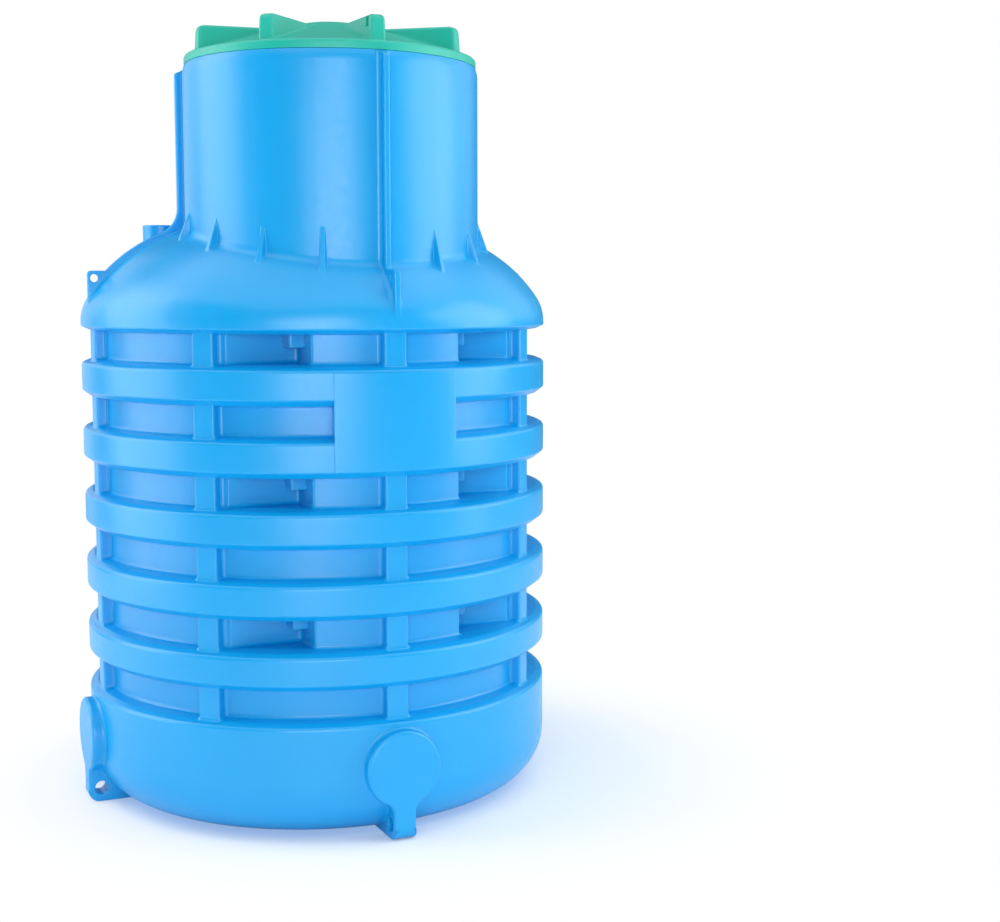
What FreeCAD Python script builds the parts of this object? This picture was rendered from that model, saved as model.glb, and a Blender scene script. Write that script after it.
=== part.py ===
# Well caisson: a moulded polyethylene chamber that stands round a well head, with stiffening hoops,
# moulded footholds, a domed shoulder, an off-centre manhole neck and a ribbed lift-off lid.
# The origin is on the chamber's axis at ground level, +Z is up and the footholds face -Y.
import FreeCAD, Part
import math
import os

V = FreeCAD.Vector
UP = V(0, 0, 1)

# Driving dimensions, in millimetres and degrees
wall = 10.0
edge_round = 8.0

body_radius = 650.0
tub_height = 304.0
base_round = 145.0
recess_depth = 50.0
hoop_count = 5
hoop_height = 80.0
band_height = 100.0
pad_count = 8
pad_width = 60.0
pad_proud = 30.0

step_gap = 400.0
step_depth = 142.0
step_block_width = 40.0
step_block_depth = 54.0
step_block_height = 47.0

panel_width = 332.0
panel_proud = 2.0
panel_margin = 6.0

rim_height = 9.0
rim_arc = 125.0
dome_arc = 430.0
dome_break = 34.0

neck_radius = 393.0
neck_setback = 99.0
neck_height = 687.0

fin_thickness = 16.0
fin_proud = 32.0
fin_over_dome = 15.0
fin_top_drop = 14.0
fin_bend = 75.0
ear_setback = 9.0
ear_rise = 140.0
ear_corner = 10.0
ear_hole_radius = 11.0
ear_hole_inset = 20.0

gusset_height = 67.0
gusset_top_rise = 246.0
gusset_reach = 35.0
gusset_thickness = 16.0
gusset_pitch = 22.5
gusset_turns = (1, 2, 3, 4, 6, 7)

boss_radius = 54.0
boss_rise = 17.0
boss_setback = 148.0
boss_angle = 135.0

lug_proud = 28.0
lug_radius = 100.0
lug_centre = 187.0
lug_foot_width = 60.0
lug_foot_depth = 148.0
lug_stem_round = 30.0
lug_foot_round = 30.0
lug_hole_radius = 18.0
lug_hole_inset = 35.0
lug_hole_height = 38.0

groove_width = 30.0
groove_depth = 18.0
groove_setback = 125.0
groove_margin = 70.0

socket_setback = 280.0
socket_mouth_radius = 117.0
socket_seat_radius = 92.0
socket_bore_radius = 80.0
socket_cone_height = 55.0
socket_height = 150.0

lid_seat_gap = 0.3
lid_rim_height = 27.0
lid_ledge = 22.0
lid_rise = 94.0
lid_plateau_radius = 63.0
lid_skirt_depth = 40.0
lid_skirt_gap = 6.0
lid_rib_count = 8
lid_rib_width = 38.0
lid_rib_height = 67.0
lid_rib_climb = 8.0
lid_rib_draft = 6.0
lid_rib_round = 10.0
lid_slot_width = 16.0
lid_slot_height = 26.0
lid_slot_inset = 34.0

# Bands that have footholds, counted from 0 at the lowest, and the ways that the pieces face
step_places = {1: "lower", 3: "middle", 5: "upper"}
sides = {"left": -1, "right": 1}
quarters = {"front": 0, "right": 90, "back": 180, "left": 270}

# Levels and radii that follow from them
recess_radius = body_radius - recess_depth
recess_inner = recess_radius - wall
floor_radius = body_radius - base_round
band_levels = [tub_height + i * (band_height + hoop_height) for i in range(hoop_count + 1)]
hoop_levels = [level + band_height for level in band_levels[:-1]]
shoulder_bottom = band_levels[-1] + band_height
rim_level = shoulder_bottom + rim_height
rim_centre = (body_radius - rim_arc, rim_level)
dome_centre = (
    rim_centre[0] - (dome_arc - rim_arc) * math.cos(math.radians(dome_break)),
    rim_centre[1] - (dome_arc - rim_arc) * math.sin(math.radians(dome_break)),
)
dome_top = dome_centre[1] + dome_arc
neck_top = rim_level + neck_height
neck_offset = body_radius - neck_radius - neck_setback
neck_axis = V(0, -neck_offset, 0)
step_cheek = step_gap / 2
step_back = recess_radius - step_depth
panel_level = band_levels[-2]
ear_reach = body_radius - ear_setback
ear_top = rim_level + ear_rise
gusset_low_top = rim_level + gusset_top_rise
boss_top = dome_top + boss_rise
lug_reach = body_radius + lug_proud
groove_reach = floor_radius - groove_setback
socket_spot = (groove_reach / 2, floor_radius - socket_setback)
lid_seat = neck_top + lid_seat_gap
lid_ledge_level = lid_seat + lid_rim_height
lid_cone_radius = neck_radius - lid_ledge


def polar(centre, radius, angle):
    turn = math.radians(angle)
    return (centre[0] + radius * math.cos(turn), centre[1] + radius * math.sin(turn))


boss_spot = polar((0, 0), body_radius - boss_setback, boss_angle)


def bend(centre, radius, start, end):
    """Arc step of an outline: the arc's middle point and its end point."""
    return (polar(centre, radius, (start + end) / 2), polar(centre, radius, end))


def in_plane(point):
    return V(point[0], 0, point[1])


def outline_face(steps):
    """Face in the XZ plane. A step is a point, reached by a line, or a bend, followed to its end."""
    here = in_plane(steps[0])
    edges = []
    for step in list(steps[1:]) + [steps[0]]:
        if isinstance(step[0], tuple):
            end = in_plane(step[1])
            edges.append(Part.Arc(here, in_plane(step[0]), end).toShape())
        else:
            end = in_plane(step)
            edges.append(Part.LineSegment(here, end).toShape())
        here = end
    return Part.Face(Part.Wire(edges))


def revolved(steps, axis_point=V(0, 0, 0)):
    face = outline_face(steps)
    face.translate(axis_point)
    return face.revolve(axis_point, UP, 360)


def plate(steps, thickness, angle=0.0, axis_point=V(0, 0, 0)):
    """Upright plate with an outline of (reach, height), turned from the front, -Y, towards +X."""
    face = outline_face(steps)
    face.translate(V(0, -thickness / 2, 0))
    solid = face.extrude(V(0, thickness, 0))
    solid.rotate(V(0, 0, 0), UP, angle - 90)
    solid.translate(axis_point)
    return solid


def cross_hole(reach, height, radius, length, angle):
    """Round hole across a plate that stands at an angle from the front."""
    pin = Part.makeCylinder(radius, length, V(reach, -length / 2, height), V(0, 1, 0))
    pin.rotate(V(0, 0, 0), UP, angle - 90)
    return pin


def box(low, high):
    return Part.makeBox(high[0] - low[0], high[1] - low[1], high[2] - low[2], V(*low))


def upright(radius, low, high, spot=(0.0, 0.0)):
    return Part.makeCylinder(radius, high - low, V(spot[0], spot[1], low))


def fused(shapes):
    return shapes[0].multiFuse(shapes[1:]).removeSplitter()


def save(name, shape):
    shape.exportStep(os.path.join("parts", name + ".step"))


# Whole outer and inner forms that other pieces are trimmed against
def tub_form():
    return revolved([
        (0, 0),
        (floor_radius, 0),
        bend((floor_radius, base_round), base_round, -90, 0),
        (body_radius, tub_height),
        (0, tub_height),
    ])


def dome_form(inset):
    """Solid under the shoulder's surface, or under its inner surface when inset by the wall."""
    return revolved([
        (0, shoulder_bottom),
        (body_radius - inset, shoulder_bottom),
        (body_radius - inset, rim_level),
        bend(rim_centre, rim_arc - inset, 0, dome_break),
        bend(dome_centre, dome_arc - inset, dome_break, 90),
        (0, dome_top - inset),
    ])


def dome_height(reach):
    """Height of the shoulder's outer surface at a distance from the chamber's axis."""
    if reach <= dome_centre[0]:
        return dome_top
    if reach <= polar(dome_centre, dome_arc, dome_break)[0]:
        return dome_centre[1] + math.sqrt(dome_arc ** 2 - (reach - dome_centre[0]) ** 2)
    return rim_level + math.sqrt(max(rim_arc ** 2 - (reach - rim_centre[0]) ** 2, 0))


# Base
def base_tub():
    return revolved([
        (floor_radius, 0),
        bend((floor_radius, base_round), base_round, -90, 0),
        (body_radius, tub_height - edge_round),
        bend((body_radius - edge_round, tub_height - edge_round), edge_round, 0, 90),
        (recess_inner, tub_height),
        (recess_inner, tub_height - wall),
        (body_radius - wall, tub_height - wall),
        (body_radius - wall, base_round),
        bend((floor_radius, base_round), base_round - wall, 0, -90),
    ])


def long_bead(x, length, width, low, high):
    """Straight bead with round ends, along Y."""
    half = (length - width) / 2
    middle = box((x - width / 2, -half, low), (x + width / 2, half, high))
    return fused([middle] + [upright(width / 2, low, high, (x, end)) for end in (-half, half)])


def base_floor():
    floor = upright(floor_radius, 0, wall)
    ridges = []
    grooves = []
    for x in (-groove_reach, 0, groove_reach):
        length = 2 * (math.sqrt(floor_radius ** 2 - x ** 2) - groove_margin)
        ridges.append(long_bead(x, length + 2 * wall, groove_width + 2 * wall, 0, groove_depth + wall))
        grooves.append(long_bead(x, length, groove_width, 0, groove_depth))
    floor = fused([floor] + ridges)
    for groove in grooves:
        floor = floor.cut(groove)
    return floor.cut(upright(socket_mouth_radius + wall, 0, wall, socket_spot))


def casing_socket():
    """Sleeve for the well casing: a conical mouth below, a seat and a straight bore above."""
    return revolved([
        (socket_mouth_radius, 0),
        (socket_mouth_radius + wall, 0),
        (socket_mouth_radius + wall, wall),
        (socket_seat_radius + wall, socket_cone_height + wall),
        (socket_bore_radius + wall, socket_cone_height + wall),
        (socket_bore_radius + wall, socket_height),
        (socket_bore_radius, socket_height),
        (socket_bore_radius, socket_cone_height),
        (socket_seat_radius, socket_cone_height),
    ], V(socket_spot[0], socket_spot[1], 0))


def lug_flare(inner):
    """Hollow corners between a lug's round pad and its foot, along +X."""
    side = lug_foot_width / 2 + lug_stem_round
    low = lug_centre - math.sqrt((lug_radius + lug_stem_round) ** 2 - side ** 2)
    outer = lug_reach - edge_round
    length = outer - inner
    flare = box((inner, -side, low), (outer, side, lug_centre))
    for y in (-side, side):
        flare = flare.cut(Part.makeCylinder(lug_stem_round, length, V(inner, y, low), V(1, 0, 0)))
    around = Part.makeCylinder(lug_radius + lug_stem_round, length, V(inner, 0, lug_centre), V(1, 0, 0))
    return flare.common(around)


def lug(angle):
    """Round pad with an eyed foot below it, for tying the chamber down."""
    disc = revolved([
        (0, 0),
        (lug_radius, 0),
        (lug_radius, lug_reach - edge_round),
        bend((lug_radius - edge_round, lug_reach - edge_round), edge_round, 0, 90),
        (0, lug_reach),
    ])
    disc.rotate(V(0, 0, 0), V(0, 1, 0), 90)
    disc.rotate(V(0, 0, 0), UP, angle - 90)
    disc.translate(V(0, 0, lug_centre))
    foot_inner = lug_reach - lug_foot_depth
    foot = plate([
        (foot_inner, 0),
        (lug_reach - lug_foot_round, 0),
        bend((lug_reach - lug_foot_round, lug_foot_round), lug_foot_round, -90, 0),
        (lug_reach, lug_centre),
        (foot_inner, lug_centre),
    ], lug_foot_width, angle)
    flare = lug_flare(foot_inner)
    flare.rotate(V(0, 0, 0), UP, angle - 90)
    eye = cross_hole(lug_reach - lug_hole_inset, lug_hole_height, lug_hole_radius,
                     2 * lug_foot_width, angle)
    return fused([disc, foot, flare]).cut(tub_form()).cut(eye)


# Ribbed wall
def hoop(low):
    high = low + hoop_height
    outer = body_radius - edge_round
    return revolved([
        (recess_inner, low),
        (outer, low),
        bend((outer, low + edge_round), edge_round, -90, 0),
        (body_radius, high - edge_round),
        bend((outer, high - edge_round), edge_round, 0, 90),
        (recess_inner, high),
        (recess_inner, high - wall),
        (body_radius - wall, high - wall),
        (body_radius - wall, low + wall),
        (recess_inner, low + wall),
    ])


def step_region(side, radius, low, high):
    """Space of one foothold and its walls: beside the cheek, in front of the back and inside the wall."""
    inner = step_cheek - wall
    back = -(step_back - wall)
    block = box((min(side * inner, side * body_radius), -body_radius, low),
                (max(side * inner, side * body_radius), back, high))
    return block.common(upright(radius, low, high))


def wall_band(level, has_steps):
    """Recessed wall between two hoops, with its raised pads and gaps for footholds."""
    top = level + band_height
    pad_reach = recess_radius + pad_proud
    pad_outline = [(0, level), (pad_reach, level), (pad_reach, top), (0, top)]
    pieces = [upright(recess_radius, level, top)]
    for i in range(pad_count):
        if i > 0 or level != panel_level:
            pieces.append(plate(pad_outline, pad_width, 360.0 * i / pad_count))
    band = fused(pieces).cut(upright(recess_inner, level, top))
    if has_steps:
        for side in (-1, 1):
            band = band.cut(step_region(side, recess_radius, level, top))
    return band


def step(side, level):
    """Foothold moulded into a band: cheek, back, tread, roof and the block in its inner corner."""
    top = level + band_height
    space = box((step_cheek, -body_radius, level), (body_radius, -step_back, top))
    block = box((step_cheek, -step_back - step_block_depth, top - step_block_height),
                (step_cheek + step_block_width, -step_back, top))
    space = space.cut(block)
    if side < 0:
        space = space.mirror(V(0, 0, 0), V(1, 0, 0))
    walls = step_region(side, recess_radius, level, top).cut(space)
    tread = step_region(side, recess_inner, level - wall, level)
    roof = step_region(side, recess_inner, top, top + wall)
    return fused([walls, tread, roof])


def label_panel():
    """Bare raised field over the two upper hoops."""
    band_low = panel_level
    band_high = band_low + band_height
    low = band_low - hoop_height + panel_margin
    high = band_high + hoop_height - panel_margin
    half = panel_width / 2
    reach = body_radius + panel_proud
    skin = upright(reach, low, high).cut(upright(body_radius, low, high))
    bridge = upright(body_radius, band_low, band_high).cut(upright(body_radius - wall, band_low, band_high))
    ring = upright(body_radius, band_low, band_high).cut(upright(recess_radius, band_low, band_high))
    ends = [ring.common(box((x, -reach, band_low), (x + wall, 0, band_high))) for x in (-half, half - wall)]
    field = box((-half, -reach, low), (half, 0, high))
    return fused([skin.common(field), bridge.common(field)] + ends)


# Shoulder and neck
def shoulder():
    shell = revolved([
        (recess_inner, shoulder_bottom),
        (body_radius - edge_round, shoulder_bottom),
        bend((body_radius - edge_round, shoulder_bottom + edge_round), edge_round, -90, 0),
        (body_radius, rim_level),
        bend(rim_centre, rim_arc, 0, dome_break),
        bend(dome_centre, dome_arc, dome_break, 90),
        (0, dome_top),
        (0, dome_top - wall),
        (dome_centre[0], dome_top - wall),
        bend(dome_centre, dome_arc - wall, 90, dome_break),
        bend(rim_centre, rim_arc - wall, dome_break, 0),
        (body_radius - wall, shoulder_bottom + wall),
        (recess_inner, shoulder_bottom + wall),
    ])
    shell = shell.cut(upright(neck_radius, shoulder_bottom, neck_top, (neck_axis.x, neck_axis.y)))
    return shell.cut(upright(boss_radius - wall, shoulder_bottom, boss_top, boss_spot))


def neck():
    tube = revolved([
        (neck_radius - wall, shoulder_bottom),
        (neck_radius, shoulder_bottom),
        (neck_radius, neck_top - edge_round),
        bend((neck_radius - edge_round, neck_top - edge_round), edge_round, 0, 90),
        (neck_radius - wall, neck_top),
    ], neck_axis)
    return tube.cut(dome_form(wall))


def neck_form():
    return upright(neck_radius, shoulder_bottom, neck_top, (neck_axis.x, neck_axis.y))


def fin(angle):
    """Rib up the neck that bends out over the shoulder and ends in a lifting ear."""
    turn = math.radians(angle)
    along = neck_offset * math.cos(turn)
    across = neck_offset * math.sin(turn)
    neck_face = along + math.sqrt(neck_radius ** 2 - across ** 2)
    crest = neck_face + fin_proud
    top = neck_top - fin_top_drop
    over = dome_arc + fin_over_dome
    ear_start = math.degrees(math.asin((ear_top - dome_centre[1]) / over))
    lean = max(crest + fin_bend - dome_centre[0], 0)
    bend_centre = (crest + fin_bend, dome_centre[1] + math.sqrt((over + fin_bend) ** 2 - lean ** 2))
    dome_start = math.degrees(math.acos(lean / (over + fin_bend)))
    if dome_start > ear_start:
        hollow = [
            polar(dome_centre, over, ear_start),
            bend(dome_centre, over, ear_start, dome_start),
            bend(bend_centre, fin_bend, dome_start + 180, 180),
        ]
    else:
        corner = (crest + ear_corner, ear_top + ear_corner)
        hollow = [polar(corner, ear_corner, 270), bend(corner, ear_corner, 270, 180)]
    ear_corner_centre = (ear_reach - ear_corner, ear_top - ear_corner)
    steps = [
        (dome_centre[0] - body_radius, shoulder_bottom),
        (ear_reach, shoulder_bottom),
        (ear_reach, ear_corner_centre[1]),
        bend(ear_corner_centre, ear_corner, 0, 90),
        *hollow,
        (crest, top),
        (dome_centre[0] - body_radius, top),
    ]
    blade = plate(steps, fin_thickness, angle)
    hole = cross_hole(ear_reach - ear_hole_inset, ear_top - ear_hole_inset, ear_hole_radius,
                      2 * fin_thickness, angle)
    outside = box((-body_radius, 0, shoulder_bottom), (body_radius, body_radius, neck_top))
    outside.rotate(V(0, 0, 0), UP, angle - 180)
    return blade.cut(neck_form()).cut(dome_form(0)).cut(hole).common(outside)


def neck_gussets():
    solids = []
    for count in gusset_turns:
        for side in (-1, 1):
            angle = side * count * gusset_pitch
            turn = math.radians(angle)
            foot_reach = neck_radius + gusset_reach
            levels = []
            for reach in (neck_radius, foot_reach):
                from_axis = math.hypot(reach * math.sin(turn), neck_offset + reach * math.cos(turn))
                levels.append(dome_height(from_axis))
            top = max(levels[0] + gusset_height, gusset_low_top)
            outline = [
                (neck_radius - wall, shoulder_bottom),
                (foot_reach, shoulder_bottom),
                (foot_reach, levels[1]),
                (neck_radius, top),
                (neck_radius - wall, top),
            ]
            solid = plate(outline, gusset_thickness, angle, neck_axis)
            solids.append(solid.cut(neck_form()).cut(dome_form(0)))
    return Part.makeCompound(solids)


def vent_boss():
    cup = revolved([
        (boss_radius - wall, shoulder_bottom),
        (boss_radius, shoulder_bottom),
        (boss_radius, boss_top - edge_round),
        bend((boss_radius - edge_round, boss_top - edge_round), edge_round, 0, 90),
        (0, boss_top),
        (0, boss_top - wall),
        (boss_radius - wall, boss_top - wall),
    ], V(boss_spot[0], boss_spot[1], 0))
    return cup.cut(dome_form(0))


# Lid
def lid_outline(inset):
    """Upper surface of the lid, from its rim to its centre."""
    slope = math.atan2(lid_rise, lid_cone_radius - lid_plateau_radius)
    drop = inset / math.cos(slope)
    top = lid_ledge_level + lid_rise
    return [
        (lid_cone_radius, lid_ledge_level - drop),
        (lid_plateau_radius, top - drop),
        (0, top - drop),
    ]


def lid_cover():
    skirt_outer = neck_radius - wall - lid_skirt_gap
    skirt_inner = skirt_outer - wall
    under = lid_outline(wall)
    rim_corner = (neck_radius - edge_round, lid_ledge_level - edge_round)
    return revolved([
        (skirt_inner, lid_seat - lid_skirt_depth),
        (skirt_outer, lid_seat - lid_skirt_depth),
        (skirt_outer, lid_seat),
        (neck_radius, lid_seat),
        (neck_radius, rim_corner[1]),
        bend(rim_corner, edge_round, 0, 90),
        *lid_outline(0),
        under[2],
        under[1],
        (skirt_inner, under[0][1]),
    ], neck_axis)


def rib_edges(blank):
    """Edges of a rib blank that face the open: its outer upright edges and its crest."""
    found = []
    for edge in blank.Edges:
        middle = edge.CenterOfMass
        is_outer = middle.y < -(lid_plateau_radius + lid_rib_width)
        is_high = middle.z > lid_ledge_level + lid_rib_round
        if is_outer and is_high:
            found.append(edge)
    return found


def lid_ribs():
    cap = revolved([(0, lid_seat), (lid_cone_radius, lid_seat)] + lid_outline(0), neck_axis)
    crest = lid_ledge_level + lid_rib_height
    solids = []
    for i in range(lid_rib_count):
        blank = plate([
            (lid_plateau_radius, lid_ledge_level),
            (lid_cone_radius, lid_ledge_level),
            (lid_cone_radius - lid_rib_draft, crest),
            (lid_plateau_radius, crest + lid_rib_climb),
        ], lid_rib_width)
        rib = blank.makeFillet(lid_rib_round, rib_edges(blank))
        if i == 0:
            reach = lid_cone_radius - lid_slot_inset
            slot_low = crest - lid_rib_round / 2 - lid_slot_height
            rib = rib.cut(box((-lid_rib_width, -reach - lid_slot_width / 2, slot_low),
                              (lid_rib_width, -reach + lid_slot_width / 2, slot_low + lid_slot_height)))
        rib.rotate(V(0, 0, 0), UP, 360.0 * i / lid_rib_count)
        rib.translate(neck_axis)
        solids.append(rib.cut(cap))
    return Part.makeCompound(solids)


os.makedirs("parts", exist_ok=True)
save("base_floor", base_floor())
save("casing_socket", casing_socket())
save("base_tub", base_tub())
for number, level in enumerate(hoop_levels, 1):
    save(f"hoop_{number}", hoop(level))
for index, level in enumerate(band_levels):
    save(f"wall_band_{index + 1}", wall_band(level, index in step_places))
for index, place in step_places.items():
    for side_name, side in sides.items():
        save(f"{place}_step_{side_name}", step(side, band_levels[index]))
save("label_panel", label_panel())
save("shoulder", shoulder())
save("neck", neck())
for quarter, angle in quarters.items():
    save(f"{quarter}_fin", fin(angle))
    save(f"{quarter}_lug", lug(angle))
save("neck_gussets", neck_gussets())
save("vent_boss", vent_boss())
save("lid_cover", lid_cover())
save("lid_ribs", lid_ribs())
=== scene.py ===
"""Looks of the well caisson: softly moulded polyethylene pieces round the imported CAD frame."""
import math

import bmesh
import bpy
import numpy as np
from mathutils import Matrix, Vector


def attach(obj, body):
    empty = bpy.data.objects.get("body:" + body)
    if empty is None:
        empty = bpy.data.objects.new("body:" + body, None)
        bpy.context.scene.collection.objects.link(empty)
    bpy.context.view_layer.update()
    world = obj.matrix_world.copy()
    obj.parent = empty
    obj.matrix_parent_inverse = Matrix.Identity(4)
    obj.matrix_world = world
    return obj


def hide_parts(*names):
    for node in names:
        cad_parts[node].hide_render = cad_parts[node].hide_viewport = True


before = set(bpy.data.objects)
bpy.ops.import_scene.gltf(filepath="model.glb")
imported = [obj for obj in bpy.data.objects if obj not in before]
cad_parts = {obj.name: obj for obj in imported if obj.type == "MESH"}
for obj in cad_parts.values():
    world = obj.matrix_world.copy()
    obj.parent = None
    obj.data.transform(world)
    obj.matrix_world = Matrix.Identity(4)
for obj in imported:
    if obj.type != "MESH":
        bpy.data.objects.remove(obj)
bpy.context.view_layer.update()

MM = 0.001
UP = np.array((0.0, 0.0, 1.0))

# Sizes of the object, in millimetres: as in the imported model, apart from a few millimetres at the neck,
# the lid and the front ear that follow the photo
WALL = 10.0
BODY_R = 650.0
TUB_TOP = 304.0
BASE_ROUND = 145.0
RECESS_R = 600.0
HOOP_H = 80.0
BAND_H = 100.0
BANDS = [TUB_TOP + i * (BAND_H + HOOP_H) for i in range(6)]
HOOPS = [z + BAND_H for z in BANDS[:5]]
QUARTERS = {"front": 0.0, "right": 90.0, "back": 180.0, "left": 270.0}

PAD_R = 630.0
PAD_HALF = 30.0
PAD_PITCH = 45
PAD_ROOT_ROUND = 10.0
PAD_EDGE_ROUND = 6.0
STEP_CHEEK = 200.0
STEP_BACK = 458.0
STEP_END_ROUND = 6.0
STEP_CORNER_ROUND = 10.0
STEP_CHEEK_ROUND = 8.0
STEP_PLACES = {1: "lower", 3: "middle", 5: "upper"}
BLOCK_WIDTH = 40.0
BLOCK_DEPTH = 54.0
BLOCK_HEIGHT = 47.0
BLOCK_ROUND = 7.0
BLOCK_LAP = 4.0
BLOCK_HALF = 30.0
BLOCK_EDGE = ((6, 0), (2.5, 1), (0, 6))  # inset, and height over the underside
PANEL_HALF = 166.0
PANEL_R = 652.0
PANEL_LOW = 950.0
PANEL_HIGH = 1198.0
PANEL_BAND = 4  # band whose front pad lies under the panel
PANEL_BEVEL = 0.6
PANEL_SINK = 2.0
PANEL_LAP = 2.0
PANEL_POINTS = 41

SHOULDER_Z = 1304.0
RIM_Z = 1313.0
RIM_ARC = 125.0
DOME_ARC = 430.0
DOME_BREAK = math.radians(34.0)
NECK_R = 398.0
NECK_Y = 158.0
NECK_TOP = 1997.4
NECK_LIP = 5.0
NECK_LIP_H = 26.0
NECK_LIP_ROUND = 2.5
NECK_INNER_EDGE = 1.5
NECK_FILLET = 30.0
NECK_SKIRT = 52.0
GUSSET_H = 67.0
GUSSET_LOW_TOP = 1559.0
GUSSET_OUT = 30.0
GUSSET_LEAD = 16.0
GUSSET_TOP_ROUND = 14.0
GUSSET_TOE_ROUND = 7.0
GUSSET_CLEAR = 2.2
GUSSET_ANGLES = [s * n * 22.5 for n in (1, 2, 3, 4, 6, 7) for s in (-1, 1)]
BOSS_R = 54.0
BOSS_TOP = 1589.4
BOSS_SPOT = (-355.0, 355.0)
BOSS_EDGE = 4.0

FIN_HALF = 8.0
FIN_PROUD = 27.0
FIN_TOP = 1986.0
FIN_OVER = 15.0
FIN_BEND = 75.0
FIN_SHORT_BEND = 12.0
FIN_FLARE = 10.0
FIN_CROWN = 4.5
FIN_SINK = 4.0
FIN_STRAIGHT = 60.0
EAR_REACH = {"front": 648.0, "right": 641.0, "back": 641.0, "left": 639.0}
EAR_TOP = 1453.0
EAR_CORNER = 10.0
EAR_EYE_OUT, EAR_EYE_Z, EAR_EYE_R = 621.0, 1433.0, 11.0
EAR_EYE_SOFT = 2.0

LUG_R = 678.0
LUG_DISC = 100.0
LUG_Z = 187.0
LUG_HALF = 30.0
LUG_INNER = 530.0
LUG_STEM_ROUND = 30.0
LUG_TOE = 30.0
LUG_EDGE = 9.0
LUG_FLARE_LOW = 12.0
LUG_FLARE_HIGH = 42.0
LUG_FLANK_START = 8.0
LUG_EYE_OUT, LUG_EYE_Z, LUG_EYE_R = 643.0, 38.0, 18.0
LUG_EYE_SOFT = 4.0

LID_R = 393.0
LID_Z = 1997.7
LID_LEDGE_Z = LID_Z + 24.0
LID_CONE_R = 371.0
LID_TOP = LID_LEDGE_Z + 89.5
LID_FLAT_R = 80.0
LID_EDGE = 9.0
LID_SKIRT_GAP = 6.0
LID_SKIRT_DEPTH = 40.0
LID_RIBS = 8
LID_RIB_HALF = 21.0
LID_RIB_H = 67.5
LID_RIB_CLIMB = 6.0
LID_RIB_END = 16.0
LID_RIB_CORNER = 11.0
LID_RIB_CROWN = 8.0
LID_RIB_DRAFT = 2.5
LID_RIB_ROOM = 16.0
LID_RIB_SINK = 6.0
LID_RIB_BACK = 20.0
SLOT_INSET = 34.0
SLOT_BELOW = 4.0
SLOT_ACROSS, SLOT_ALONG, SLOT_DEPTH = (-40, 40), (-11, 8), (-25, 0)

# Sloping faces of the tub's top, the hoops and the dome's rim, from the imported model's flat ledges
ROOT_R = 598.0
ROOT_RISE = 12.5
ROOT_INNER_RISE = 3.0
PAD_RISE = 7.0
UPPER_EDGE = -1.0
LOWEST_UPPER_EDGE = -3.0
TOP_ROUND = 12.0
ROOT_DROP = 14.0
ROOT_INNER_DROP = 4.0
PAD_DROP = 9.0
LOWER_EDGE = 6.0
LOW_ROUND = 6.0
SLOPE_ROUND = 3.0

# Recessed wall where it meets the hoops: roundings, and how far it runs on under their faces
FOOT_ROUND = 11.0
HEAD_ROUND = 1.0
JOIN_R = 628.0
ROOT_LAP = 2.0
FOOT_LAP = 0.4

# Meshing: edges that turn by more than SHARP degrees stay sharp, plan points lie PLAN_PITCH degrees apart,
# and turned pieces have so many columns
SHARP = 38.0
MOULDING_SHARP = 50.0
PLAN_PITCH = 2.5
BODY_COLUMNS = 192
LID_COLUMNS = 160
BOSS_COLUMNS = 64
EYE_COLUMNS = 48
TINY_R = 0.01


# Mesh helpers
def shell(grid, wrap_rows=False, capped=False):
    """Vertices and faces of rings of points, with the last ring joined to the first or both ends capped."""
    grid = np.asarray(grid, float)
    rows, columns = grid.shape[:2]
    faces = []
    for i in range(rows if wrap_rows else rows - 1):
        for j in range(columns):
            a, b = i * columns, ((i + 1) % rows) * columns
            k = (j + 1) % columns
            faces.append((a + j, a + k, b + k, b + j))
    if capped:
        faces.append(tuple(range(columns)))
        faces.append(tuple((rows - 1) * columns + j for j in range(columns)))
    return grid.reshape(-1, 3), faces


def filled(shells):
    """Bmesh of shells whose points are in millimetres."""
    bm = bmesh.new()
    for points, faces in shells:
        verts = [bm.verts.new(p * MM) for p in points]
        for face in faces:
            bm.faces.new([verts[i] for i in face])
    return bm


def mesh_from(name, bm):
    """Mesh with a bmesh's content, which is freed."""
    mesh = bpy.data.meshes.new(name)
    bm.to_mesh(mesh)
    bm.free()
    return mesh


def placed(name, data):
    """New object in the scene."""
    obj = bpy.data.objects.new(name, data)
    bpy.context.scene.collection.objects.link(obj)
    return obj


def piece(name, shells, nodes, body, material, slot, sharp=SHARP):
    """One object from closed shells, in place of CAD nodes, riding on a body."""
    bm = filled(shells)
    bmesh.ops.remove_doubles(bm, verts=bm.verts, dist=1e-6)
    bmesh.ops.dissolve_degenerate(bm, edges=bm.edges, dist=1e-7)
    bmesh.ops.recalc_face_normals(bm, faces=bm.faces)
    mesh = mesh_from(name, bm)
    mesh.shade_smooth()
    mesh.set_sharp_from_angle(angle=math.radians(sharp))
    mesh.materials.append(material)
    obj = placed(name, mesh)
    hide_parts(*nodes)
    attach(obj, body)
    return obj


def weigh_normals(obj):
    """Large flat faces keep their own normals beside the small faces of a rounding."""
    weigh = obj.modifiers.new("flat faces", "WEIGHTED_NORMAL")
    weigh.keep_sharp = True


def cut_with(obj, bm):
    """Take a bmesh's form out of an object."""
    cutter = placed("cutter", mesh_from("cutter", bm))
    cut = obj.modifiers.new("cut", "BOOLEAN")
    cut.object = cutter
    cut.solver = "EXACT"
    graph = bpy.context.evaluated_depsgraph_get()
    done = bpy.data.meshes.new_from_object(obj.evaluated_get(graph))
    obj.modifiers.remove(cut)
    old = obj.data
    obj.data = done
    bpy.data.meshes.remove(old)
    bpy.data.objects.remove(cutter)
    done.set_sharp_from_angle(angle=math.radians(SHARP))


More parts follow.
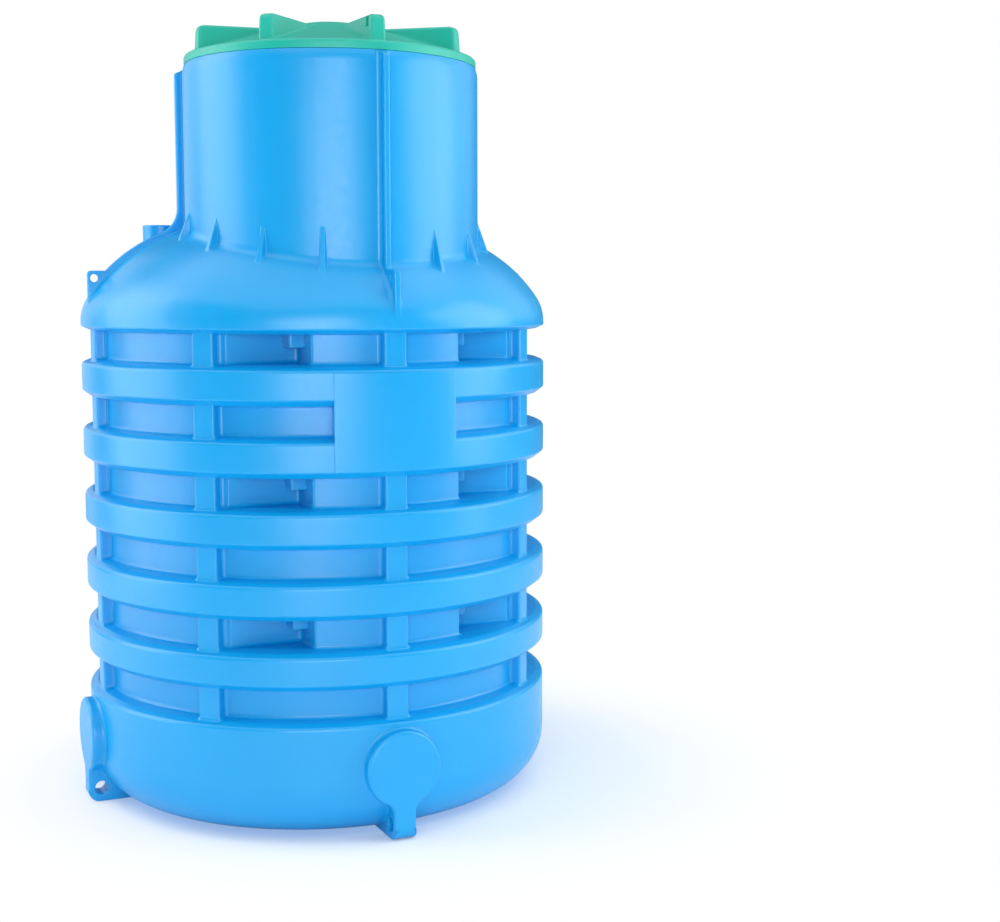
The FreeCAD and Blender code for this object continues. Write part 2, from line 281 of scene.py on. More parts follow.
def cut_eye(obj, centre, axis, radius, half, soft):
    """Round hole through a plate, widened to a soft edge at both faces."""
    clear = 20.0
    profile = [(-half - clear, radius + soft)]
    for bend in quarter(5):
        profile.append((-half + soft * (1 - math.cos(bend)), radius + soft * (1 - math.sin(bend))))
    profile += [(-t, r) for t, r in profile[::-1]]
    across = np.cross(axis, UP)
    turns = np.linspace(0, 2 * math.pi, EYE_COLUMNS, endpoint=False)
    spokes = [across * math.cos(a) + UP * math.sin(a) for a in turns]
    rings = [[centre + axis * t + r * spoke for spoke in spokes] for t, r in profile]
    bm = filled([shell(rings, capped=True)])
    bmesh.ops.recalc_face_normals(bm, faces=bm.faces)
    cut_with(obj, bm)


def cut_box(obj, corners):
    """Hole of eight given corners through an object."""
    bm = bmesh.new()
    bmesh.ops.convex_hull(bm, input=[bm.verts.new(Vector(c) * MM) for c in corners])
    cut_with(obj, bm)


def quarter(steps):
    """Angles of a quarter turn in even steps, from 0 to a right angle."""
    return [math.pi / 2 * i / steps for i in range(steps + 1)]


def rounded(corners, closed=True, steps=4):
    """Outline with its corners (x, y, radius) rounded, and for each point the corner it came from."""
    most_of_side = 0.48
    points, source = [], []
    count = len(corners)
    for i, (x, y, radius) in enumerate(corners):
        here = np.array((x, y))
        if radius <= 0 or (not closed and i in (0, count - 1)):
            points.append(here)
            source.append(i)
            continue
        back = np.array(corners[i - 1][:2]) - here
        on = np.array(corners[(i + 1) % count][:2]) - here
        back_length, on_length = np.hypot(*back), np.hypot(*on)
        back, on = back / back_length, on / on_length
        half = 0.5 * math.acos(max(-1.0, min(1.0, float(back @ on))))
        reach = min(radius / math.tan(half), most_of_side * back_length, most_of_side * on_length)
        middle = back + on
        centre = here + middle / np.hypot(*middle) * (reach / math.cos(half))
        start, end = here + back * reach - centre, here + on * reach - centre
        first = math.atan2(start[1], start[0])
        swing = math.atan2(start[0] * end[1] - start[1] * end[0], float(start @ end))
        size = np.hypot(*start)
        for k in range(steps + 1):
            turn = first + swing * k / steps
            points.append(centre + size * np.array((math.cos(turn), math.sin(turn))))
            source.append(i)
    return np.array(points), source


def evenly(path, count):
    """The same path as a given count of points at even lengths."""
    path = np.array(path)
    step = np.hypot(*np.diff(path, axis=0).T)
    length = np.concatenate(([0], np.cumsum(step)))
    want = np.linspace(0, length[-1], count)
    return np.stack([np.interp(want, length, path[:, i]) for i in range(2)], axis=1)


def outline_normals(points):
    """Outward normals of a closed outline that runs anticlockwise."""
    along = np.roll(points, -1, axis=0) - np.roll(points, 1, axis=0)
    along /= np.maximum(np.hypot(along[:, 0], along[:, 1]), 1e-9)[:, None]
    return np.stack((along[:, 1], -along[:, 0]), axis=1)


def turned(radius, height, columns, centre=(0.0, 0.0)):
    """Ring of points at a radius and height round an upright axis."""
    turn = np.linspace(0, 2 * math.pi, columns, endpoint=False)
    return np.stack((centre[0] + radius * np.sin(turn), centre[1] - radius * np.cos(turn),
                     np.full(columns, height)), axis=1)


def lathe(profile, columns=BODY_COLUMNS, centre=(0.0, 0.0), closed=True):
    """Shell of a profile of (radius, height) points turned round an upright axis."""
    return shell([turned(r, z, columns, centre) for r, z in profile], wrap_rows=closed)


def facing(angle):
    """Outward and sideways directions at an angle in degrees from the front, -Y, towards +X."""
    turn = math.radians(angle)
    return np.array((math.sin(turn), -math.cos(turn), 0.0)), np.array((math.cos(turn), math.sin(turn), 0.0))


# Dome of the shoulder: a small arc at the rim that runs into a large one
RIM_X = BODY_R - RIM_ARC
DOME_X = RIM_X - (DOME_ARC - RIM_ARC) * math.cos(DOME_BREAK)
DOME_Z = RIM_Z - (DOME_ARC - RIM_ARC) * math.sin(DOME_BREAK)
RIM_LENGTH = RIM_ARC * DOME_BREAK
DOME_LENGTH = DOME_ARC * (math.pi / 2 - DOME_BREAK)


def dome_z(r, inset=0.0):
    """Height of the shoulder at a distance from the chamber's axis."""
    r = np.asarray(r, float)
    arc = DOME_ARC - inset
    main = DOME_Z + np.sqrt(np.maximum(arc ** 2 - np.maximum(r - DOME_X, 0) ** 2, 0))
    edge = RIM_Z + np.sqrt(np.maximum((RIM_ARC - inset) ** 2 - np.maximum(r - RIM_X, 0) ** 2, 0))
    return np.where(r <= DOME_X + arc * math.cos(DOME_BREAK), main, edge)


def dome_profile(length):
    """(r, z) on the dome at a length along its profile from the rim."""
    if length <= RIM_LENGTH:
        turn = length / RIM_ARC
        return RIM_X + RIM_ARC * math.cos(turn), RIM_Z + RIM_ARC * math.sin(turn)
    if length <= RIM_LENGTH + DOME_LENGTH:
        turn = DOME_BREAK + (length - RIM_LENGTH) / DOME_ARC
        return DOME_X + DOME_ARC * math.cos(turn), DOME_Z + DOME_ARC * math.sin(turn)
    return DOME_X - (length - RIM_LENGTH - DOME_LENGTH), DOME_Z + DOME_ARC


def dome_length(r):
    """Length along the dome's profile from the rim to a distance from the chamber's axis."""
    if r >= DOME_X + DOME_ARC * math.cos(DOME_BREAK):
        return RIM_ARC * math.acos(min((r - RIM_X) / RIM_ARC, 1.0))
    if r >= DOME_X:
        return RIM_LENGTH + DOME_ARC * (math.acos((r - DOME_X) / DOME_ARC) - DOME_BREAK)
    return RIM_LENGTH + DOME_LENGTH + DOME_X - r


def from_neck(reach, turn):
    """Distance from the chamber's axis of a point at a reach and turn from the neck's axis."""
    return np.sqrt((reach * np.sin(turn)) ** 2 + (NECK_Y + reach * np.cos(turn)) ** 2)


# Shader helpers
def node(tree, kind, **sockets):
    """New node with values on its sockets, whose names have underscores for spaces."""
    made = tree.nodes.new(kind)
    for name, value in sockets.items():
        made.inputs[name.replace("_", " ")].default_value = value
    return made


def spread(tree, source, low, high, to_low, to_high, interpolation="LINEAR"):
    """Output that runs from one value to another while the source runs from low to high."""
    made = node(tree, "ShaderNodeMapRange", From_Min=low, From_Max=high, To_Min=to_low, To_Max=to_high)
    made.interpolation_type = interpolation
    tree.links.new(source, made.inputs["Value"])
    return made.outputs["Result"]


def joined(tree, operation, first, second):
    """Output of a maths node on two others."""
    made = tree.nodes.new("ShaderNodeMath")
    made.operation = operation
    tree.links.new(first, made.inputs[0])
    tree.links.new(second, made.inputs[1])
    return made.outputs["Value"]


def mixed(tree, factor, first, second):
    """Colour between two others, each a constant or an output."""
    made = tree.nodes.new("ShaderNodeMix")
    made.data_type = "RGBA"
    tree.links.new(factor, made.inputs["Factor"])
    for socket, colour in (("A", first), ("B", second)):
        if isinstance(colour, tuple):
            made.inputs[socket].default_value = (*colour, 1)
        else:
            tree.links.new(colour, made.inputs[socket])
    return made.outputs["Result"]


def blended(tree, factor, first, second, output):
    """Surface of a material or world that goes from one shader to another."""
    made = tree.nodes.new("ShaderNodeMixShader")
    tree.links.new(factor, made.inputs["Fac"])
    tree.links.new(first, made.inputs[1])
    tree.links.new(second, made.inputs[2])
    tree.links.new(made.outputs["Shader"], tree.nodes[output].inputs["Surface"])


def plastic(name, light, deep, edge_highlight, roughness):
    """Rotomoulded polyethylene: clouded colour, uneven satin gloss, fine pebbled skin, and a painted
    highlight that makes sharp edges paler in patches.
    """
    made = bpy.data.materials.new(name)
    made.use_nodes = True
    tree = made.node_tree
    shader = tree.nodes["Principled BSDF"]
    shader.inputs["IOR"].default_value = 1.5
    shader.inputs["Specular IOR Level"].default_value = 0.6
    place = tree.nodes.new("ShaderNodeTexCoord")

    def noise(scale, detail, rough=0.5):
        made_noise = node(tree, "ShaderNodeTexNoise", Scale=scale, Detail=detail, Roughness=rough)
        tree.links.new(place.outputs["Object"], made_noise.inputs["Vector"])
        return made_noise.outputs["Fac"]

    def bump(height, distance):
        made_bump = node(tree, "ShaderNodeBump", Strength=0.05, Distance=distance)
        tree.links.new(height, made_bump.inputs["Height"])
        return made_bump

    cloud = noise(scale=5.0, detail=4.0)
    mottle = noise(scale=60.0, detail=3.0)
    pebble = noise(scale=420.0, detail=2.0, rough=0.6)
    swell = noise(scale=9.0, detail=1.0)
    tone = mixed(tree, spread(tree, cloud, 0.3, 0.7, 0.0, 1.0), deep, light)
    # Painted highlight: the colour turns paler along sharp edges, in patches
    pointed = tree.nodes.new("ShaderNodeNewGeometry").outputs["Pointiness"]
    edge = spread(tree, pointed, 0.53, 0.64, 0.0, 0.35)
    edge_highlight_share = joined(tree, "MULTIPLY", edge, spread(tree, mottle, 0.4, 0.65, 0.2, 1.0))
    tree.links.new(mixed(tree, edge_highlight_share, tone, edge_highlight), shader.inputs["Base Color"])
    gloss = spread(tree, mottle, 0.3, 0.7, roughness - 0.04, roughness + 0.05)
    tree.links.new(gloss, shader.inputs["Roughness"])
    skin, wave = bump(pebble, 0.001), bump(swell, 0.002)
    tree.links.new(wave.outputs["Normal"], skin.inputs["Normal"])
    tree.links.new(skin.outputs["Normal"], shader.inputs["Normal"])
    return made


# Each plastic's last colour is a painted highlight, laid on its sharp edges
blue = plastic("blue_polyethylene", light=(0.002, 0.362, 0.772), deep=(0.0, 0.342, 0.742),
               edge_highlight=(0.05, 0.43, 0.82), roughness=0.32)
green = plastic("green_polyethylene", light=(0.003, 0.465, 0.355), deep=(0.001, 0.44, 0.335),
                edge_highlight=(0.06, 0.54, 0.45), roughness=0.42)


def body_piece(name, shells, nodes, **more):
    return piece(name, shells, nodes, "caisson", blue, "body_plastic", **more)


def lid_piece(name, shells, nodes):
    return piece(name, shells, nodes, "lid", green, "lid_plastic")


# Base tub and hoops: closed profiles turned round the chamber's axis, sloping towards the recessed wall
def upper_slope(z, edge=UPPER_EDGE):
    """From an outer face over its upper edge to the wall above, and back down inside."""
    return [(BODY_R, z + edge, TOP_ROUND), (PAD_R, z + PAD_RISE, SLOPE_ROUND), (ROOT_R, z + ROOT_RISE, 0),
            (ROOT_R, z + ROOT_INNER_RISE, 0), (BODY_R - WALL, z - WALL, SLOPE_ROUND)]


def lower_slope(z, edge=LOWER_EDGE):
    """From inside a hoop to the wall below, and out to the lower edge of its outer face."""
    return [(BODY_R - WALL, z + WALL, SLOPE_ROUND), (ROOT_R, z - ROOT_INNER_DROP, 0),
            (ROOT_R, z - ROOT_DROP, 0), (PAD_R, z - PAD_DROP, SLOPE_ROUND), (BODY_R, z + edge, LOW_ROUND)]


# The large rounding needs a long floor beside it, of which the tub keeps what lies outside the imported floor
FLOOR_START = 320.0
FLOOR_KEPT = 500.0
tub_profile, _ = rounded(
    [(FLOOR_START, 0, 0), (BODY_R, 0, BASE_ROUND)] + upper_slope(TUB_TOP, LOWEST_UPPER_EDGE)
    + [(BODY_R - WALL, WALL, BASE_ROUND - WALL), (FLOOR_START, WALL, 0)], steps=16)
tub_profile = tub_profile[tub_profile[:, 0] > FLOOR_KEPT]
weigh_normals(body_piece("base_tub", [lathe(tub_profile)], ["base_tub"]))

for number, low in enumerate(HOOPS, 1):
    upper_edge = LOWEST_UPPER_EDGE if number == 1 else UPPER_EDGE
    hoop_profile, _ = rounded(lower_slope(low) + upper_slope(low + HOOP_H, upper_edge), steps=5)
    weigh_normals(body_piece(f"hoop_{number}", [lathe(hoop_profile)], [f"hoop_{number}"]))


# Recessed wall: bands with raised pads and footholds
def band_plan(has_steps, has_front_pad):
    """Plan outline of a band's outer face, and the foothold that each point belongs to: -1, 0 or 1."""
    margin, far_margin = 1.2, 0.8
    parts = []
    spans = []
    root = math.sqrt(RECESS_R ** 2 - PAD_HALF ** 2)
    pad = [(-PAD_HALF, root, PAD_ROOT_ROUND), (-PAD_HALF, PAD_R, PAD_EDGE_ROUND),
           (PAD_HALF, PAD_R, PAD_EDGE_ROUND), (PAD_HALF, root, PAD_ROOT_ROUND)]
    pad_span = math.degrees(math.asin(PAD_HALF / RECESS_R)) + margin
    for turn in range(-180, 180, PAD_PITCH):
        if turn == 0 and not has_front_pad:
            continue
        out, side = facing(turn)
        parts.append((turn, [(*(out * r + side * v)[:2], radius, 0) for v, r, radius in pad]))
        spans.append((turn - pad_span, turn + pad_span))
    if has_steps:
        cheek_y = -math.sqrt(RECESS_R ** 2 - STEP_CHEEK ** 2)
        end_x = math.sqrt(RECESS_R ** 2 - STEP_BACK ** 2)
        chord = [(end_x, -STEP_BACK, STEP_END_ROUND), (STEP_CHEEK, -STEP_BACK, STEP_CORNER_ROUND),
                 (STEP_CHEEK, cheek_y, STEP_CHEEK_ROUND)]
        low = math.degrees(math.asin(STEP_CHEEK / RECESS_R)) - margin
        high = math.degrees(math.acos(STEP_BACK / RECESS_R)) + far_margin
        middle = (low + high) / 2
        parts.append((-middle, [(-x, y, radius, -1) for x, y, radius in chord]))
        parts.append((middle, [(x, y, radius, 1) for x, y, radius in chord[::-1]]))
        spans += [(-high, -low), (low, high)]
    for turn in np.arange(-180 + PLAN_PITCH / 2, 180, PLAN_PITCH):
        if not any(low <= turn <= high or low <= turn - 360 <= high for low, high in spans):
            spot = facing(turn)[0] * RECESS_R
            parts.append((turn, [(spot[0], spot[1], 0, 0)]))
    parts.sort(key=lambda part: part[0])
    corners = [corner for _, group in parts for corner in group]
    points, source = rounded([corner[:3] for corner in corners])
    return points, [corners[i][3] for i in source]


def band_grid(points, normals, low, high, chosen):
    """Closed section of a band at each chosen plan point: webs, roundings, wall and inner face."""
    bends = quarter(4)
    columns = []
    for k in chosen:
        spot, normal = points[k], normals[k]
        head = spot + normal * HEAD_ROUND
        turn = math.atan2(head[0], -head[1])
        out = np.array((math.sin(turn), -math.cos(turn)))
        inner = RECESS_R - WALL
        if np.hypot(*spot) < RECESS_R - 1.0:
            across, back = STEP_CHEEK - WALL, STEP_BACK - WALL
            inner = min(inner, max(back / math.cos(turn), across / abs(math.sin(turn))))
        column = [(*(out * JOIN_R), low), (*(out * (ROOT_R + ROOT_LAP)), low + ROOT_RISE - 2 * FOOT_LAP)]
        start = np.hypot(*(spot + normal * FOOT_ROUND))
        slope = np.interp(start, (ROOT_R, PAD_R, BODY_R), (ROOT_RISE, PAD_RISE, UPPER_EDGE))
        foot_z = low + slope - FOOT_LAP
        ends = ((foot_z, 1, FOOT_ROUND, bends), (high, -1, HEAD_ROUND, bends[::-1]))
        for end, sign, radius, order in ends:
            for bend in order:
                offset = spot + normal * radius * (1 - math.sin(bend))
                column.append((*offset, end + sign * radius * (1 - math.cos(bend))))
        for r, z in ((JOIN_R, high), (JOIN_R, high + WALL), (inner, high + WALL), (inner, low - WALL),
                     (JOIN_R, low - WALL)):
            column.append((*(out * r), z))
        columns.append(column)
    return np.array(columns)


def hanging_block(side, top):
    """Block with rounded edges in the inner top corner of a foothold."""
    near, far = STEP_CHEEK - BLOCK_LAP, STEP_CHEEK + BLOCK_WIDTH
    front, back = -STEP_BACK - BLOCK_DEPTH, -STEP_BACK + BLOCK_LAP
    bottom = top - BLOCK_HEIGHT
    outline, _ = rounded([(near, front, 0), (far, front, BLOCK_ROUND), (far, back, 0), (near, back, 0)])
    middle = outline.mean(axis=0)
    levels = [(inset, bottom + rise) for inset, rise in BLOCK_EDGE] + [(0, top + BLOCK_LAP)]
    rows = []
    for inset, z in levels:
        ring = outline + (middle - outline) / BLOCK_HALF * inset
        rows.append([(side * x, y, z) for x, y in ring])
    return shell(rows, capped=True)


for index, low in enumerate(BANDS):
    high = low + BAND_H
    has_steps = index in STEP_PLACES
    plan, belongs = band_plan(has_steps, index != PANEL_BAND)
    normals = outline_normals(plan)
    count = len(plan)
    name = f"wall_band_{index + 1}"
    if not has_steps:
        grid = band_grid(plan, normals, low, high, range(count))
        weigh_normals(body_piece(name, [shell(grid, wrap_rows=True)], [name]))
        continue
    runs = {}
    for side in (-1, 1):
        inside = [k for k in range(count) if belongs[k] == side]
        runs[side] = range(inside[0], inside[-1] + 1)
    between = range(runs[-1][-1], runs[1][0] + 1)
    around = [k % count for k in range(runs[1][-1], runs[-1][0] + count + 1)]
    walls = [shell(band_grid(plan, normals, low, high, run), capped=True) for run in (between, around)]
    weigh_normals(body_piece(name, walls, [name]))
    for side, word in ((-1, "left"), (1, "right")):
        step = f"{STEP_PLACES[index]}_step_{word}"
        recess = shell(band_grid(plan, normals, low, high, runs[side]), capped=True)
        weigh_normals(body_piece(step, [recess, hanging_block(side, high)], [step]))

# Bare label panel over the two upper hoops: its edge as (distance in from the end, distance below the face)
PANEL_EDGE = ((0, 3.0), (0, PANEL_SINK), (PANEL_BEVEL, PANEL_BEVEL), (PANEL_SINK, 0), (30, 0))
panel_ends = [(PANEL_LOW + inset, drop) for inset, drop in PANEL_EDGE]
panel_ends += [(PANEL_HIGH - inset, drop) for inset, drop in PANEL_EDGE[::-1]]
panel_turns = np.linspace(-1, 1, PANEL_POINTS) * (PANEL_HALF - PANEL_SINK) / PANEL_R
edge_turn, bevel_turn = PANEL_HALF / PANEL_R, PANEL_BEVEL / PANEL_R
panel_rows = []
for z, drop in panel_ends:
    sunk, bevelled = PANEL_R - PANEL_SINK - drop, PANEL_R - PANEL_BEVEL - drop
    front = [(-edge_turn, sunk), (-edge_turn + bevel_turn, bevelled)]
    front += [(turn, PANEL_R - drop) for turn in panel_turns]
    front += [(edge_turn - bevel_turn, bevelled), (edge_turn, sunk)]
    ring = front + [(turn, RECESS_R - PANEL_LAP) for turn, _ in front[::-1]]
    panel_rows.append([(r * math.sin(turn), -r * math.cos(turn), z) for turn, r in ring])
weigh_normals(body_piece("label_panel", [shell(panel_rows, capped=True)], ["label_panel"]))


# Neck and shoulder: one moulding, with a hollow rounding at the neck's foot and gussets that grow out of it
FILLET_STEPS = 12
FOOT_POINTS = 40

# Flank of a gusset: sideways offset, and the share of the way from the plain foot up to the gusset's crest
FLANK = np.array(((3.5, 1.0), (4.6, 0.99), (5.8, 0.97), (7.2, 0.88), (8.1, 0.68), (8.9, 0.35), (9.7, 0.12),
                  (11.0, 0.03), (13.0, 0.0)))


def foot_rounding(reach, level):
    """Hollow rounding from an upright wall to the dome: its centre, end on the dome and lean there."""
    lean = 0.0
    for _ in range(6):
        end = reach + NECK_FILLET * (1 - math.sin(lean))
        lean = math.atan((level(end - 1) - level(end + 1)) / 2)
    return reach + NECK_FILLET, level(end) + NECK_FILLET * math.cos(lean), end, lean


def foot_path(reach, level, top, last):
    """Down an upright wall from a height, through the hollow rounding and out over the dome to a reach."""
    centre_x, centre_z, end, lean = foot_rounding(reach, level)
    path = [(reach, top), (reach, max(centre_z, min(top - 1, centre_z + 20)))]
    for i in range(FILLET_STEPS + 1):
        swing = math.pi + (math.pi / 2 - lean) * i / FILLET_STEPS
        path.append((centre_x + NECK_FILLET * math.cos(swing), centre_z + NECK_FILLET * math.sin(swing)))
    return path + [(x, level(x)) for x in np.linspace(end, last, 9)[1:]]


def neck_foot(turn, offset):
    """Path down the neck and out over the dome, raised to a gusset that is a sideways offset away."""
    def level(reach):
        return float(dome_z(from_neck(reach, turn)))

    top = max(level(NECK_R) + GUSSET_H, GUSSET_LOW_TOP)
    skirt = NECK_R + NECK_SKIRT
    plain = evenly(foot_path(NECK_R, level, top + GUSSET_LEAD, skirt), FOOT_POINTS)
    if offset is None:
        return plain
    foot = NECK_R + GUSSET_OUT
    crest, _ = rounded([(NECK_R, top + GUSSET_LEAD, 0), (NECK_R, top, GUSSET_TOP_ROUND),
                        (foot, level(foot), GUSSET_TOE_ROUND), (skirt, level(skirt), 0)],
                       closed=False, steps=6)
    crest = evenly(crest, FOOT_POINTS)
    width = 0.6 + 0.4 * np.clip((top - crest[:, 1]) / (top - level(foot)), 0, 1)
    share = np.interp(offset / width, FLANK[:, 0], FLANK[:, 1])[:, None]
    return plain * (1 - share) + crest * share


def moulding_column(turn, offset):
    """Closed section of neck and shoulder at a turn round the neck's axis, as points in space."""
    inner_r, lip_r = NECK_R - WALL, NECK_R - NECK_LIP - NECK_LIP_ROUND
    lip_z = NECK_TOP - NECK_LIP_ROUND
    path = [(inner_r, float(dome_z(from_neck(inner_r, turn), WALL))), (inner_r, NECK_TOP - NECK_INNER_EDGE),
            (inner_r + NECK_INNER_EDGE, NECK_TOP)]
    for bend in quarter(4)[::-1]:
        path.append((lip_r + NECK_LIP_ROUND * math.cos(bend), lip_z + NECK_LIP_ROUND * math.sin(bend)))
    for part in (0.2, 0.4, 0.6, 0.8, 1.0):
        path.append((NECK_R - NECK_LIP * (1 - part) ** 2, lip_z - NECK_LIP_H * part))
    path += [(NECK_R, NECK_TOP - down) for down in (60, 200, 320)]
    path += [tuple(spot) for spot in neck_foot(turn, offset)]
    length = dome_length(float(from_neck(NECK_R + NECK_SKIRT, turn)))
    outside = [dome_profile(length * part) for part in np.linspace(1, 0, 41)[1:]]
    outside += [tuple(spot) for spot in rim_edge]
    for part in np.linspace(0, 1, 17):
        r = min(dome_profile(length * part)[0], BODY_R - WALL - 0.5)
        outside.append((r, float(dome_z(r, WALL))))
    for r, z in outside:
        path.append((-NECK_Y * math.cos(turn) + math.sqrt(r ** 2 - (NECK_Y * math.sin(turn)) ** 2), z))
    return [(reach * math.sin(turn), -NECK_Y - reach * math.cos(turn), z) for reach, z in path]


rim_edge, _ = rounded(
    [(BODY_R, RIM_Z, 0)] + lower_slope(SHOULDER_Z, 0)[:0:-1] + [(BODY_R - WALL - 3, RIM_Z + 4, 0)],
    closed=False, steps=5)
neck_columns = []
for angle in GUSSET_ANGLES:
    for side in (-1, 1):
        for offset in FLANK[:, 0]:
            neck_columns.append((math.radians(angle) + side * offset / (NECK_R + 10), offset))
for angle in np.arange(-180, 180, PLAN_PITCH):
    if min(abs((angle - g + 180) % 360 - 180) for g in GUSSET_ANGLES) > GUSSET_CLEAR:
        neck_columns.append((math.radians(angle), None))
neck_columns.sort(key=lambda column: column[0])
moulding = shell([moulding_column(turn, offset) for turn, offset in neck_columns], wrap_rows=True)
weigh_normals(body_piece("neck_and_shoulder", [moulding], ["shoulder", "neck", "neck_gussets"],
                         sharp=MOULDING_SHARP))

# Fins: swept ribs with a rounded crest and hollow roots, down the neck and out to the lifting ear.
# Upper end of a fin's crest as (distance below the top, setback), how much higher its root ends, and the
# sideways offsets at which its root is followed
FIN_TOP_EDGE = ((0, 9), (1.5, 4), (5, 1), (10, 0))
FIN_TOP_SLANT = 8
FIN_ROOTS = np.array((0.0, FIN_HALF, 13.0, 20.0))
BEND_POINTS = 15


def fin_paths(angle, ear_r):
    """Crest of a fin as (reach, height) points, and a function for the root points that pair with them."""
    along = NECK_Y * math.cos(math.radians(angle))
    across = -NECK_Y * math.sin(math.radians(angle))

    def neck_face(v):
        return along + math.sqrt(NECK_R ** 2 - (v - across) ** 2)

    def level_at(v):
        return lambda reach: float(dome_z(math.hypot(reach, v)))

    crest_x = neck_face(0) + FIN_PROUD
    over = DOME_ARC + FIN_OVER
    ear_start = math.asin((EAR_TOP - DOME_Z) / over)
    lean = max(crest_x + FIN_BEND - DOME_X, 0)
    dome_start = math.acos(lean / (over + FIN_BEND))
    if dome_start > ear_start:
        bend_r, bend_z = FIN_BEND, DOME_Z + math.sqrt((over + FIN_BEND) ** 2 - lean ** 2)
        swing = dome_start
        slope = np.linspace(dome_start, ear_start, 16)[1:]
        bend_end = DOME_X + DOME_ARC * math.cos(dome_start)
        slope_end = DOME_X + DOME_ARC * math.cos(ear_start)
    else:
        bend_r, bend_z = FIN_SHORT_BEND, EAR_TOP + FIN_SHORT_BEND
        swing = math.pi / 2
        slope = []
        bend_end = slope_end = crest_x - 2
    high = max(bend_z, foot_rounding(neck_face(0), level_at(0))[1] + 10) + 6
    crest = [(crest_x - setback, FIN_TOP - down) for down, setback in FIN_TOP_EDGE]
    crest += [(crest_x, z) for z in np.linspace(FIN_TOP - FIN_STRAIGHT, high, 5)[:-1]]
    levels = [z for _, z in crest]
    turn_path = [(crest_x, high)]
    for i in range(FILLET_STEPS + 1):
        turn = math.pi + swing * i / FILLET_STEPS
        turn_path.append((crest_x + bend_r + bend_r * math.cos(turn), bend_z + bend_r * math.sin(turn)))
    crest += [tuple(spot) for spot in evenly(turn_path, BEND_POINTS)]
    crest += [(DOME_X + over * math.cos(turn), DOME_Z + over * math.sin(turn)) for turn in slope]
    corner_x, corner_z = ear_r - EAR_CORNER, EAR_TOP - EAR_CORNER
    ear = [(x, EAR_TOP) for x in np.linspace(crest[-1][0], corner_x, 6)[1:]]
    for turn in quarter(6)[-2::-1]:
        ear.append((corner_x + EAR_CORNER * math.cos(turn), corner_z + EAR_CORNER * math.sin(turn)))
    ear += [(ear_r, z) for z in np.linspace(EAR_TOP - 2 * EAR_CORNER, float(dome_z(ear_r)) + 1.5, 7)]

    def root(v):
        path = [(neck_face(v), z + max(FIN_TOP_SLANT - 2 * i, 0)) for i, z in enumerate(levels)]
        bend = foot_path(neck_face(v), level_at(v), high, bend_end)
        path += [tuple(spot) for spot in evenly(bend, BEND_POINTS)]
        reaches = [DOME_X + DOME_ARC * math.cos(turn) for turn in slope]
        reaches += list(np.linspace(slope_end, ear_r, len(ear) + 1)[1:])
        return np.array(path + [(x, level_at(v)(x)) for x in reaches])

    return np.array(crest + ear), root


def fin_half(crest, root, sign):
    """Sections of one side of a fin from its flared root to its crown: (sideways, (reach, height))."""
    lines = np.stack([root(sign * v) for v in FIN_ROOTS])
    halves = []
    for k, top in enumerate(crest):
        def base(v):
            return np.array([np.interp(v, FIN_ROOTS, lines[:, k, i]) for i in range(2)])

        rise = top - base(FIN_HALF)
        height = np.hypot(*rise)
        rise /= height
        flare, crown = min(FIN_FLARE, 0.45 * height), min(FIN_CROWN, 0.3 * height)
        spots = [(FIN_HALF + flare, base(FIN_HALF + flare) - rise * FIN_SINK)]
        for bend in quarter(6):
            v = FIN_HALF + flare * (1 - math.sin(bend))
            spots.append((v, base(v) + rise * flare * (1 - math.cos(bend))))
        for bend in quarter(4):
            v = FIN_HALF - crown * (1 - math.cos(bend))
            spots.append((v, top - rise * crown * (1 - math.sin(bend))))
        halves.append([(sign * v, spot) for v, spot in spots])
    return halves


def fin_shell(angle, ear_r):
    out, side = facing(angle)
    crest, root = fin_paths(angle, ear_r)
    rings = []
    for right, left in zip(fin_half(crest, root, 1), fin_half(crest, root, -1)):
        rings.append([out * spot[0] + side * v + UP * spot[1] for v, spot in right + left[::-1]])
    return shell(rings, capped=True)


for word, angle in QUARTERS.items():
    name = f"{word}_fin"
    fin = body_piece(name, [fin_shell(angle, EAR_REACH[word])], [name])
    out, side = facing(angle)
    cut_eye(fin, out * EAR_EYE_OUT + UP * EAR_EYE_Z, side, EAR_EYE_R, FIN_HALF, EAR_EYE_SOFT)
    weigh_normals(fin)

# Lugs: round pad and eyed foot, with a soft rounding where they leave the tub.
# That rounding as (offset from the outline, height over the tub), and the flanks' distances out
LUG_FOOT = ((7, -14), (7, -0.5), (4.3, 0.5), (2.0, 2.0), (0.5, 4.3), (0, 7.5))
LUG_FLANK = (648.0, 655.0, 661.0, 665.0, LUG_R - LUG_EDGE)


def lug_outline():
    """Front view of a lug, anticlockwise from the middle of its foot: (sideways, height)."""
    reach = LUG_HALF + LUG_STEM_ROUND
    low = LUG_Z - math.sqrt((LUG_DISC + LUG_STEM_ROUND) ** 2 - reach ** 2)
    join = math.atan2(low - LUG_Z, reach)
    half = [(LUG_HALF, z) for z in (0.0, 6.0, 16.0, 30.0, 50.0)]
    for i in range(7):
        turn = math.pi + join * i / 6
        half.append((reach + LUG_STEM_ROUND * math.cos(turn), low + LUG_STEM_ROUND * math.sin(turn)))
    for turn in np.linspace(join, math.pi / 2, 20)[1:-1]:
        half.append((LUG_DISC * math.cos(turn), LUG_Z + LUG_DISC * math.sin(turn)))
    return np.array([(0, 0)] + half + [(0, LUG_Z + LUG_DISC)] + [(-v, z) for v, z in half[::-1]])


def tub_reach(spots):
    """Distance out to the tub's surface, or to the lug's inner end, at (sideways, height) spots."""
    v, z = spots[:, 0], spots[:, 1]
    lift = np.maximum(BASE_ROUND - z, 0)
    r = BODY_R - BASE_ROUND + np.sqrt(np.maximum(BASE_ROUND ** 2 - lift ** 2, 0))
    return np.maximum(np.sqrt(np.maximum(r ** 2 - v ** 2, 0)), LUG_INNER)


